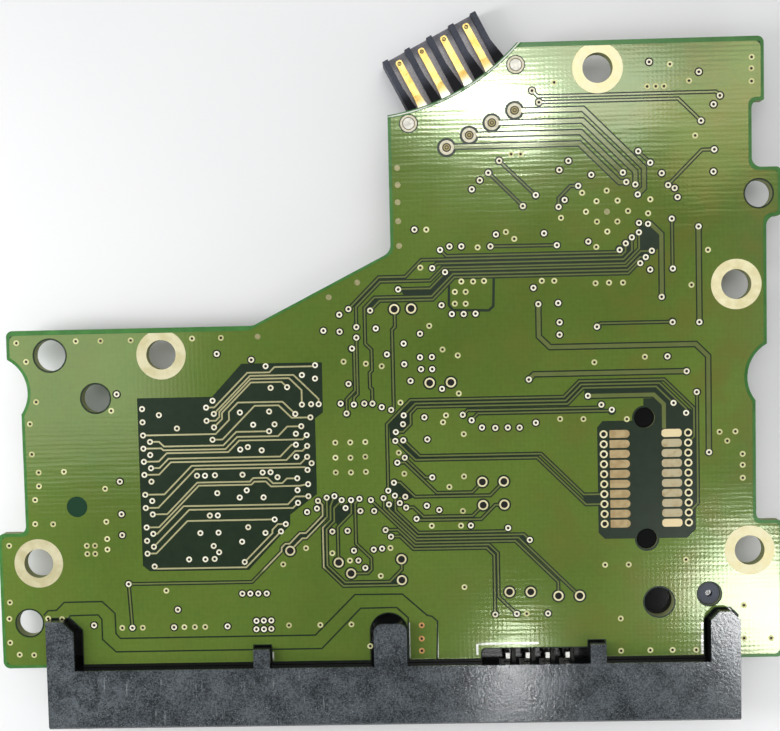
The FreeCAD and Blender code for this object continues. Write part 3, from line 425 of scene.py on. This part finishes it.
def moulding(name):
    tune = mouldings[name]
    paint = Paint(name + "Moulding")
    grain = paint.noise(tune["grain"], 3, roughness=mouldSkin["roughness"])
    cloud = paint.noise(mouldSkin["cloud"], 3)
    tone = grain * mouldSkin["grainShare"] + cloud * mouldSkin["cloudShare"]
    tone = tone.ramp(*mouldSkin["tones"])
    colour = paint.mix(tone, tune["low"], tune["high"])
    if name == "springBlock":  # painted sheen on the floors between the ribs; dark at both ends: darker near the board, the sheen dimmed at the outer end
        out = outward(paint)
        colour = paint.mix(1 - out.ramp(*slotFloor["footOut"]), colour, slotFloor["foot"])
        least, gain = slotFloor["speckle"]
        level = 1 - abs(paint.z - slotFloor["z"]).ramp(*slotFloor["level"])
        pale = level * (least + grain * gain) * (1 - out.ramp(*slotFloor["endOut"]) * slotFloor["endDim"])
        pale = pale * (paint.facing() > slotFloor["facing"])
        colour = paint.mix(pale, colour, slotFloor["tint"])
    rough = tune["rough"] + (cloud - 0.5) * mouldSkin["roughSpread"]
    paint.set(BaseColor=colour, Roughness=rough)
    paint.bump(grain, mouldSkin["bump"], mouldSkin["bumpStrength"])
    paint.refract(tune.get("ior", mouldSkin["ior"]))
    return paint.material


# Edge connector: black moulding, frosted and rubbed on its upper faces, with painted shade on the faces below
# them

housing = {
    "deep": rgb(13, 14, 15), "shadedBelowPale": rgb(27, 28, 30), "skin": rgb(40, 44, 47),
    "skinPale": rgb(98, 105, 110), "skinZ": (6.0 * mm, 6.08 * mm), "tones": (0.36, 0.66),
    "grain": 0.22 * mm, "grainRoughness": 0.7, "grainShare": 0.65,
    "cloud": 3.5 * mm, "cloudRoughness": 0.6, "cloudShare": 0.35,
    "ear": disc(-39.2, -40.3, 7), "swirl": 2.6 * mm, "swirlCore": 1.5 * mm, "swirlSway": 26.0,
    "swirlShare": 0.045,
    "fleck": rgb(178, 182, 184), "fleckSize": 0.13 * mm, "fleckTones": (0.66, 0.74), "fleckPatch": 3 * mm,
    "fleckPatches": (0.3, 0.65), "fleckShare": 0.6,
    "rubbed": plan(-38, -8, -45.4, -38.5), "rubbedSoft": 1.5 * mm, "scratch": 0.3 * mm,
    "scratchStretch": (1, 0.08, 1), "scratchTones": (0.6, 0.7), "scratchPatch": 1.4 * mm,
    "scratchPatches": (0.45, 0.6), "scratchShare": 0.35,
    "foot": disc(40.73, -29.51, 1.38), "footZ": 4.35 * mm, "footTint": rgb(66, 72, 86), "footDull": 0.4,
    "footSpeckle": (0.6, 0.6), "sunkY": -37.4 * mm, "sunkZ": 4.2 * mm, "sunkRough": 0.07,
    "rough": 0.125, "roughSpread": 0.12, "dent": 0.36 * mm, "dentLift": 1.6, "grainLift": 0.2,
    "bump": 0.01 * mm, "bumpStrength": 0.7, "ior": 1.5,
}


def housingMoulding():
    paint = Paint("housingMoulding")
    grain = paint.noise(housing["grain"], 3, roughness=housing["grainRoughness"])
    cloud = paint.noise(housing["cloud"], 4, roughness=housing["cloudRoughness"])
    earX, earY, earReach = housing["ear"]  # the melt ran round the left ear's foot
    fromEar = paint.distanceTo(earX, earY)
    swirl = (fromEar * (2 * math.pi / housing["swirl"]) + cloud * housing["swirlSway"]).sine()
    flow = swirl * (1 - fromEar.ramp(housing["swirlCore"], earReach))
    tone = grain * housing["grainShare"] + cloud * housing["cloudShare"] + flow * housing["swirlShare"]
    tone = tone.ramp(*housing["tones"])
    skin = paint.mix(tone, housing["skin"], housing["skinPale"])
    scratch = paint.noise(housing["scratch"], 3, housing["scratchStretch"]).ramp(*housing["scratchTones"])
    scratch = scratch * paint.noise(housing["scratchPatch"], 3).ramp(*housing["scratchPatches"])
    scratch = scratch * paint.boxAt(*housing["rubbed"], housing["rubbedSoft"])
    fleck = paint.noise(housing["fleckSize"], 1).ramp(*housing["fleckTones"])
    fleck = fleck * paint.noise(housing["fleckPatch"], 2).ramp(*housing["fleckPatches"])
    worn = (scratch * housing["scratchShare"]).larger(fleck * housing["fleckShare"])
    skin = paint.mix(worn, skin, housing["fleck"])
    # painted shade: every face below the top faces drawn near black
    deep = paint.mix(tone, housing["deep"], housing["shadedBelowPale"])
    colour = paint.mix(paint.z.ramp(*housing["skinZ"]), deep, skin)
    footX, footY, footR = housing["foot"]  # the peg whose end shows in the board's round hole
    foot = (paint.distanceTo(footX, footY) < footR) * (paint.z > housing["footZ"])
    least, gain = housing["footSpeckle"]
    colour = paint.mix(foot * (least + grain * gain), colour, housing["footTint"])
    sunk = (paint.y > housing["sunkY"]) * (paint.z < housing["sunkZ"])  # smooth under the board's openings
    rough = (cloud - 0.5) * housing["roughSpread"] + housing["rough"]
    rough = rough * (1 - sunk) + sunk * housing["sunkRough"] + foot * housing["footDull"]
    paint.set(BaseColor=colour, Roughness=rough)
    height = grain * housing["grainLift"] + paint.noise(housing["dent"], 2) * housing["dentLift"]
    paint.bump(height * (1 - sunk), housing["bump"], housing["bumpStrength"])
    paint.refract(housing["ior"])
    return paint.material


finishes = {"mask": boardLacquer(), "mask_copper": copperLacquer(), "mask_trace": traceLacquer()}
finishes.update({name: metal(name) for name in metals})
finishes.update({name: moulding(name) for name in mouldings})
finishes["housing"] = housingMoulding()
ownFinish = {"head_pads": "pads", "motor_housing": "springBlock", "head_housing": "peg",
             "jumper_pins": "jumper"}  # nodes that don't take their slot's finish
for part in frame["record"]["subparts"]:
    skin = nodes[part["node"]].data.materials
    skin.clear()
    skin.append(finishes[ownFinish.get(part["node"], part["material_slot"])])
print("finishes set:", len(finishes))


# Plated through holes, read from the photograph

view = {"mid": (390, 365), "unit": 400, "bulge": 0.0171, "turn": math.radians(1.243),
        "tilt": (0.0092, -0.0158), "scale": 49.79, "shift": (0.8, 0.43 + drawingY)}


def onBoard(px, py):  # photograph pixel to a place on the board's face, in metres
    dx = (px - view["mid"][0]) / view["unit"]
    dy = (py - view["mid"][1]) / view["unit"]
    swell = 1 + view["bulge"] * (dx * dx + dy * dy)
    depth = 1 + swell * (dx * view["tilt"][0] + dy * view["tilt"][1])
    dx *= swell / depth
    dy *= swell / depth
    x = math.cos(view["turn"]) * dx - math.sin(view["turn"]) * dy
    y = math.sin(view["turn"]) * dx + math.cos(view["turn"]) * dy
    return (x * view["scale"] + view["shift"][0]) * mm, (view["shift"][1] - y * view["scale"]) * mm


clearedVias = [
    (649, 62), (698, 72.5), (719, 96), (713, 104.5), (701, 120.5), (639.5, 150), (651.5, 161.5),
    (624.5, 171), (628, 180.5), (637, 183), (639.5, 193), (663, 172), (714.5, 149), (714, 171),
    (669.5, 184), (676, 187), (679, 196), (570, 159), (561, 168), (593, 173), (580, 184), (566.5, 198),
    (560.5, 205), (673.5, 217.5), (533, 89), (540, 100.5), (500.5, 158.5), (489.5, 170.5), (481, 178),
    (473, 187), (537.5, 193), (524.5, 204), (415, 227.5), (497.5, 232.5), (546, 231.5), (441, 248),
    (450.5, 244.5), (462.5, 244.5), (492, 244.5), (559, 243.5), (433, 266.5), (446, 270.5), (398.5, 288),
    (535.5, 286.5), (590.5, 240), (641, 221.5), (650, 222.5), (641, 231), (634, 236), (628, 242),
    (622, 248.5), (654, 249.5), (648, 256), (642.5, 262), (652.5, 268.5), (675, 267.5), (700, 225.5),
    (701.5, 321.5), (664, 296), (675, 321.5), (599.5, 326), (670, 356), (689, 371), (699, 392),
    (590.5, 396), (604, 405), (614.5, 410), (676, 403), (688.5, 413), (711, 452.5), (540.5, 303),
    (560.5, 302), (562, 321.5), (562, 334), (531, 379.5), (348, 308), (338.7, 313.7), (370, 309.5),
    (322.5, 330), (339, 331), (356, 326.3), (356, 337), (351.6, 348), (375.7, 327.7), (387, 354),
    (348, 384), (340, 404), (353.4, 405), (364, 404), (372.3, 404), (381.7, 407.7), (391.3, 410.5),
    (346, 414), (404, 343), (420.7, 333), (404.6, 364), (420.7, 357), (432.7, 356.7), (421.7, 369),
    (433, 369), (411, 381), (443, 389), (442.5, 304), (453, 313), (465, 313), (477, 312.6), (404, 416),
    (403.3, 425), (396, 433), (395.5, 442), (403.5, 441.4), (405, 459), (397.5, 464), (425, 418),
    (428, 440.4), (464, 415.4), (473, 421), (483.5, 428.3), (497, 428.7), (509.7, 428.3), (521.6, 428.3),
    (538, 423.4), (433, 479), (394, 484.4), (388.3, 492.5), (395, 497.5), (405.5, 498.6), (317, 502.7),
    (325.8, 499.5), (333.6, 498), (341, 502), (350.5, 502), (359, 500.7), (370.7, 502), (383.5, 500),
    (400, 505), (389, 506.4), (406.4, 509.6), (417, 521), (427.4, 507.7), (440, 512), (316, 510.4),
    (306, 514), (345, 510), (360, 513), (374, 513), (331.6, 533.7), (347, 533), (385.5, 532.3),
    (391, 539), (353.5, 553), (373.5, 552), (382, 551), (358, 563), (365, 570.4), (472, 527.6),
    (509.7, 530), (531.5, 542), (496.3, 617), (518, 616.2), (549.4, 615.6), (127.6, 585), (131.8, 628.4),
    (176.6, 611), (173, 628.5), (226.4, 628.2), (94, 625.4), (241, 595.7), (249, 595.7), (257, 595.7),
    (265.5, 595.7), (255.3, 623), (262.7, 622.7), (270.2, 622.7), (255.3, 631.3), (262.9, 631.3),
    (270.3, 631), (118.2, 482.3), (120, 515), (120.8, 536), (114.8, 394.4), (214.8, 353.6),
    (249.5, 359.6),
]
pouredVias = [
    (669.5, 64.5), (688.5, 81), (647.5, 86), (656, 86), (664, 86), (749, 59), (749, 70), (749.5, 82.5),
    (695.5, 135), (555, 81), (608.5, 189), (598.5, 199.5), (619.5, 199), (588, 210), (630, 209.5),
    (652, 198), (650, 212), (584, 191), (563, 216), (599, 220), (619.5, 220), (609.5, 230), (512.5, 152),
    (522, 152), (427, 227.5), (507.5, 230), (516, 237), (479, 245.5), (421, 266), (462.5, 280),
    (474.5, 280), (485.5, 279.5), (456, 290.5), (467, 290.5), (456, 302.5), (467, 302.5), (544, 279.5),
    (556.5, 279.5), (598.5, 245.5), (598, 282), (611.5, 281.5), (625.5, 281.5), (693.5, 284),
    (709.5, 249), (597, 362), (647.5, 356.5), (586, 419.5), (562.5, 419.5), (629.5, 419.5), (721.5, 432),
    (737, 431.5), (729, 441), (744, 454), (744, 465), (744, 478), (607, 566.5), (630.5, 566),
    (687.5, 560.5), (430, 325), (443.5, 349), (459, 355), (343, 361.4), (365.6, 363.5), (381.7, 366),
    (460, 393.7), (400.7, 403), (334.5, 443.7), (349.7, 443.5), (365, 443), (334.7, 459), (350, 459),
    (365, 458), (335, 474), (350.4, 474), (365.6, 473.3), (447, 416), (444, 423), (465, 435), (399, 454),
    (404.6, 475.3), (465.2, 478), (450.3, 488.6), (464, 513), (432.4, 528), (462, 527.8), (305, 550.4),
    (331.6, 555.5), (349.4, 563), (390.5, 550.4), (380.7, 578.5), (465.3, 589.7), (528, 616),
    (282, 566.6), (165, 592), (121.8, 628.4), (142, 628.5), (183.3, 628.5), (193.7, 628.5), (204, 628.5),
    (288, 627.7), (319.6, 627.5), (351, 627), (370, 648.7), (49, 618), (62.5, 618.8), (622, 652),
    (651, 651), (673, 650.4), (696.3, 650), (622, 620), (743.7, 605), (743.3, 637.6), (769.6, 637),
    (16.6, 343), (74.6, 341), (99, 340.6), (128.8, 340), (190, 338), (219, 337.3), (26, 361.7),
    (35.7, 402), (29.7, 424), (31.6, 454.4), (38.3, 472.6), (63, 472), (38.7, 486.3), (103.6, 489.4),
    (109.4, 411), (35, 500), (35.3, 524), (52.8, 524.4), (105, 522.5), (106, 539.7), (106.3, 550.2),
    (86, 546.3), (94, 546.3), (86.6, 554.4), (94.3, 554.4), (10.2, 545.3), (11.7, 601.4), (11.4, 617.5),
    (12.6, 641), (22, 652.9), (36, 653.6),
]
memoryVias = [
    (140, 409.3), (140.5, 422.7), (141, 436), (148, 442.5), (141.4, 449.3), (148.2, 455.7), (142, 462.5),
    (149, 469), (142.5, 475.7), (149.5, 482.5), (143.4, 495.7), (150.4, 502), (144, 509), (151, 515.5),
    (145, 528.6), (151.6, 535), (145.5, 542), (152.3, 548), (146, 554.8), (153.2, 567.7), (156.8, 415.5),
    (174.8, 429), (204, 408), (210.5, 401), (211.8, 414.3), (204.5, 421.4), (212, 428), (210.5, 440.5),
    (238, 413), (267.5, 412), (251.4, 425.4), (273, 425), (267.5, 432), (264, 366), (314, 365),
    (300.7, 375), (314, 378.6), (269, 388), (285.7, 387.3), (300.7, 405), (310, 404.6), (317.7, 404.6),
    (294, 414.5), (309.3, 418), (300, 427), (294.6, 434.6), (305.5, 436), (294.6, 445.7), (306, 447),
    (295.2, 458), (306, 458), (310.5, 464.5), (306.4, 471.3), (238.4, 450.5), (246, 448), (260, 451.3),
    (195, 476.8), (203, 476.8), (213, 476.4), (240.7, 476), (261, 473.8), (269, 473.6), (276, 478.6),
    (296, 479.8), (307, 485.7), (296.3, 491.8), (215.4, 494.5), (245, 491.8), (238, 499), (262, 499),
    (307.3, 498), (296.8, 504.6), (208, 517), (216, 517), (273.2, 521.3), (284.5, 526), (279.6, 533.4),
    (264, 534.8), (246.6, 529), (198.6, 534.6), (216.8, 534.3), (240.5, 543.6), (212, 547.7),
    (217.5, 554), (187.5, 561), (203.8, 561), (213, 560.7), (243.2, 564),
]
amberVias = [(422, 628), (422, 641.3), (422, 653.4)]
filledVias = [(397.5, 165.5), (398, 182.5), (398, 200), (398.5, 219), (399.5, 244), (357, 281), (328, 296),
              (256, 336), (609, 210)]
probeVias = [(289, 553), (338, 565), (350.6, 576), (401.6, 561.8), (402, 582.8), (394.4, 308),
             (411.6, 307.4), (430.4, 383), (452, 382.4), (483.8, 483.5), (505.5, 483), (484.5, 507),
             (506, 506.4), (510.8, 594.4), (532.2, 594.2), (560, 598), (581.4, 597.8)]
headRow = {"columns": (27.6, 38.22), "first": -8.88, "pitch": 1.27, "count": 10}  # mm on the drawing
via = {
    "sides": 16, "ring": 0.375 * mm, "bore": 0.19 * mm, "clear": 0.55 * mm, "probeBore": 0.43 * mm,
    "headBore": 0.29 * mm, "clearLap": 0.9, "brightLap": 0.95, "tentedLap": 0.9, "ringTop": 0.07 * mm,
    "tentedTop": 0.055 * mm, "boreTop": 0.047 * mm, "clearTop": 0.042 * mm, "nearTrace": 0.3 * mm,
}


def onFace(pixels):
    return [Vector((*onBoard(px, py), faceZ)) for px, py in pixels]


def stampRings(name, spots, outer, inner, height, material, slot):  # one flat ring, copied to each place
    bpy.ops.object.select_all(action="DESELECT")
    bpy.ops.mesh.primitive_circle_add(vertices=via["sides"], radius=outer, fill_type="NGON",
                                      location=spots[0])
    piece = bpy.context.object
    piece.name = name
    bpy.ops.object.mode_set(mode="EDIT")
    bpy.ops.mesh.select_all(action="SELECT")
    if inner:
        bpy.ops.mesh.inset(thickness=(outer - inner) * math.cos(math.pi / via["sides"]))
        bpy.ops.mesh.delete(type="ONLY_FACE")
        bpy.ops.mesh.select_all(action="SELECT")
    bpy.ops.mesh.extrude_region_move(TRANSFORM_OT_translate={"value": (0, 0, height)})
    bpy.ops.mesh.select_all(action="SELECT")
    bpy.ops.mesh.normals_make_consistent(inside=False)
    for before, after in zip(spots, spots[1:]):
        bpy.ops.mesh.duplicate()
        bpy.ops.transform.translate(value=after - before)
    bpy.ops.object.mode_set(mode="OBJECT")
    bpy.ops.object.transform_apply(location=True, rotation=True, scale=True)
    piece.data.materials.append(material)
    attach(piece, "root")


def awayFromTraces(spots):  # the holes that no conductor ends at
    points = nodes["traces"].data.vertices
    tree = kdtree.KDTree(len(points))
    for i, point in enumerate(points):
        tree.insert(point.co, i)
    tree.balance()
    return [spot for spot in spots if tree.find(spot)[2] >= via["nearTrace"]]


def shade(name, size, dark, pale, rough):  # a dull dark colour: painted shade in the bores, grooves and dimples, the bare laminate round cleared vias
    paint = Paint(name)
    paint.set(BaseColor=paint.mix(paint.noise(size), dark, pale), Roughness=rough)
    return paint


boreShade = shade("boreShade", 0.2 * mm, rgb(8, 8, 7), rgb(18, 17, 14), 0.8).material
clearRing = shade("clearRing", 0.4 * mm, rgb(13, 17, 11), rgb(24, 30, 18), 0.45)
clearRing.refract(lacquer["bareIor"])
cleared = onFace(clearedVias)
lone = awayFromTraces(cleared)
bright = cleared + onFace(memoryVias)
tented = onFace(pouredVias)
amber = onFace(amberVias)
headHoles = [Vector((x * mm, (headRow["first"] - i * headRow["pitch"] + drawingY) * mm, faceZ))
             for x in headRow["columns"] for i in range(headRow["count"])]
brightHole = via["bore"] * via["brightLap"]
tentedHole = via["bore"] * via["tentedLap"]
clearHole = via["ring"] * via["clearLap"]
stampRings("viaClearings", lone, via["clear"], clearHole, via["clearTop"], clearRing.material, "mask")
stampRings("viaRings", bright, via["ring"], brightHole, via["ringTop"], finishes["via"], "plating")
stampRings("tentedRings", tented, via["ring"], tentedHole, via["tentedTop"], finishes["tented"], "plating")
stampRings("amberRings", amber, via["ring"], tentedHole, via["tentedTop"], finishes["amber"], "plating")
# dark discs: painted shade inside the holes
stampRings("viaBores", bright + tented + amber, via["bore"], 0, via["boreTop"], boreShade, "mask")
stampRings("probeBores", onFace(probeVias), via["probeBore"], 0, via["clearTop"], boreShade, "mask")
stampRings("headBores", headHoles, via["headBore"], 0, via["clearTop"], boreShade, "mask")
stampRings("filledVias", onFace(filledVias), via["ring"], 0, via["tentedTop"], finishes["filled"], "plating")
print("plated holes:", len(bright + tented), "of them at conductors:", len(cleared) - len(lone))


# Motor connector: soldered pins, locking pegs and the dimpled spring tips

motor = {
    "count": 4, "mid": 24.0, "pitch": 3.2, "pinRow": 20.6, "pegRow": 25.5, "pegSide": 7.57, "tipRow": 33.05,
    "tipZ": 2.51 * mm, "groove": (0.56 * mm, 0.41 * mm), "grooveTop": 0.085 * mm,
    "pinRing": (0.26 * mm, 0.15 * mm), "pinTop": 0.185 * mm, "pegGroove": (0.8 * mm, 0.71 * mm),
    "pegTop": 0.105 * mm, "dimple": (0.26 * mm, 0.15 * mm), "dot": 0.07 * mm, "tipTop": 0.085 * mm,
}


def atMotor(u, v, z=faceZ):  # along and out from the row of springs, in mm
    x = u * math.cos(motorTurn) - v * math.sin(motorTurn) + view["shift"][0]
    y = u * math.sin(motorTurn) + v * math.cos(motorTurn) + view["shift"][1]
    return Vector((x * mm, y * mm, z))


springs = [motor["mid"] + (i - (motor["count"] - 1) / 2) * motor["pitch"] for i in range(motor["count"])]
pins = [atMotor(u, motor["pinRow"]) for u in springs]
pegs = [atMotor(motor["mid"] + s * motor["pegSide"], motor["pegRow"]) for s in (-1, 1)]
tips = [atMotor(u, motor["tipRow"], motor["tipZ"]) for u in springs]
# dark rings and dots: painted shade of the grooves round the pins and pegs and of the dimples in the spring
# tips
groove = shade("grooveShade", 0.3 * mm, rgb(42, 38, 20), rgb(78, 70, 42), 0.6).material
stampRings("pinGrooves", pins, *motor["groove"], motor["grooveTop"], groove, "solder")
stampRings("pinRings", pins, *motor["pinRing"], motor["pinTop"], groove, "solder")
stampRings("pegGrooves", pegs, *motor["pegGroove"], motor["pegTop"], groove, "solder")
stampRings("tipDimples", tips, *motor["dimple"], motor["tipTop"], groove, "gold")
stampRings("tipDots", tips, motor["dot"], 0, motor["tipTop"], groove, "gold")
print("motor connector dressed")


# Floor, light and camera

floorTune = {"size": 3.0, "low": rgb(236, 237, 238), "high": rgb(242, 242, 243), "patch": 40 * mm,
             "rough": 0.6}
glareLamps = {  # these show only in reflections
    "corner": {"place": (0.2045, -0.162, 0.42), "aim": (0.03, -0.01, 0), "size": (0.056, 0.094),
               "power": 0.36},
    "spot": {"place": (0.054, -0.179, 0.40), "aim": (0.1, 0, 0), "size": (0.010, 0.044), "power": 0.05},
    "window": {"place": (0.043, 0.118, 0.40), "aim": (0.01, 0.03, 0), "size": (0.066, 0.026),
               "power": 0.23},
    "pane": {"place": (0.066, 0.144, 0.41), "aim": (0.01, 0.03, 0), "size": (0.15, 0.05), "power": 0.125},
    "side": {"place": (0.17, 0.107, 0.41), "aim": (0.03, 0.03, 0), "size": (0.06, 0.07), "power": 0.033,
             "tint": (1, 0.94, 0.5)},
}
softLamps = {  # these only light
    "far": {"place": (0.03, 0.13, 0.065), "aim": (0.02, 0.03, 0), "size": (0.12, 0.04), "power": 0.035},
    "left": {"place": (-0.15, -0.015, 0.085), "aim": (-0.04, -0.01, 0), "size": (0.05, 0.13),
             "power": 0.19},
    "right": {"place": (0.1, -0.08, 0.05), "aim": (0.09, -0.07, 0), "size": (0.05, 0.06), "power": 0.036},
}
skyTune = {
    "low": 0.27, "high": 0.66, "rise": (0.4, 0.85), "overhead": 0.08, "overheadFrom": (0.85, 0.88),
    "bar": 1.9, "barFrom": (0.165, 0.205), "left": 2.15, "leftFrom": (-0.27, -0.2),
    "leftAbove": (-0.15, -0.115), "right": 0.5, "rightFrom": (0.28, 0.36),
}
camera = {"place": (3.46 * mm, 6.49 * mm, 131.14 * mm), "turn": (-2.674, 1.139, -1.291), "focus": 1000,
          "width": 780, "sensor": 36, "near": 1 * mm}  # focus and width in pixels


def layFloor():
    bpy.ops.object.select_all(action="DESELECT")
    bpy.ops.mesh.primitive_plane_add(size=floorTune["size"], location=(0, 0, 0))
    floor = bpy.context.object
    floor.name = "floor"
    paint = Paint("paleTable")
    paint.set(BaseColor=paint.mix(paint.noise(floorTune["patch"], 3), floorTune["low"], floorTune["high"]))
    paint.set(Roughness=floorTune["rough"])
    floor.data.materials.append(paint.material)


def hangLamps(lamps, lights):
    for name, tune in lamps.items():
        bpy.ops.object.light_add(type="AREA", location=tune["place"])
        lamp = bpy.context.object
        lamp.name = name + "Lamp"
        lamp.data.shape = "RECTANGLE"
        lamp.data.size, lamp.data.size_y = tune["size"]
        lamp.data.energy = tune["power"]
        lamp.data.color = tune.get("tint", (1, 1, 1))
        lamp.visible_camera = False
        lamp.visible_diffuse = lights
        lamp.visible_glossy = not lights
        toward = Vector(tune["aim"]) - Vector(tune["place"])
        lamp.rotation_euler = toward.to_track_quat("-Z", "Y").to_euler()


def hangSky():  # dim overhead, with a bright bar beyond the board and bright patches to its left and right
    sky = Paint("studio", sky=True)
    ring = skyTune["low"] + sky.z.ramp(*skyTune["rise"]) * (skyTune["high"] - skyTune["low"])
    bar = sky.y.ramp(*skyTune["barFrom"]) * skyTune["bar"]
    left = (1 - sky.x.ramp(*skyTune["leftFrom"])) * sky.y.ramp(*skyTune["leftAbove"]) * skyTune["left"]
    right = sky.x.ramp(*skyTune["rightFrom"]) * skyTune["right"]
    cap = bar.larger(left).larger(right) + skyTune["overhead"]
    overhead = sky.z.ramp(*skyTune["overheadFrom"])
    sky.set(Color=(1, 1, 1, 1), Strength=ring * (1 - overhead) + cap * overhead)
    bpy.context.scene.world = sky.material
    bpy.context.scene.view_settings.view_transform = "Standard"


def setCamera():
    turn = [math.radians(a) for a in camera["turn"]]
    bpy.ops.object.camera_add(location=camera["place"], rotation=turn)
    eye = bpy.context.object
    eye.name = "photoCamera"
    eye.data.sensor_width = camera["sensor"]
    eye.data.lens = camera["sensor"] * camera["focus"] / camera["width"]
    eye.data.clip_start = camera["near"]
    bpy.context.scene.camera = eye


layFloor()
hangLamps(glareLamps, lights=False)
hangLamps(softLamps, lights=True)
hangSky()
setCamera()
print("stage set")
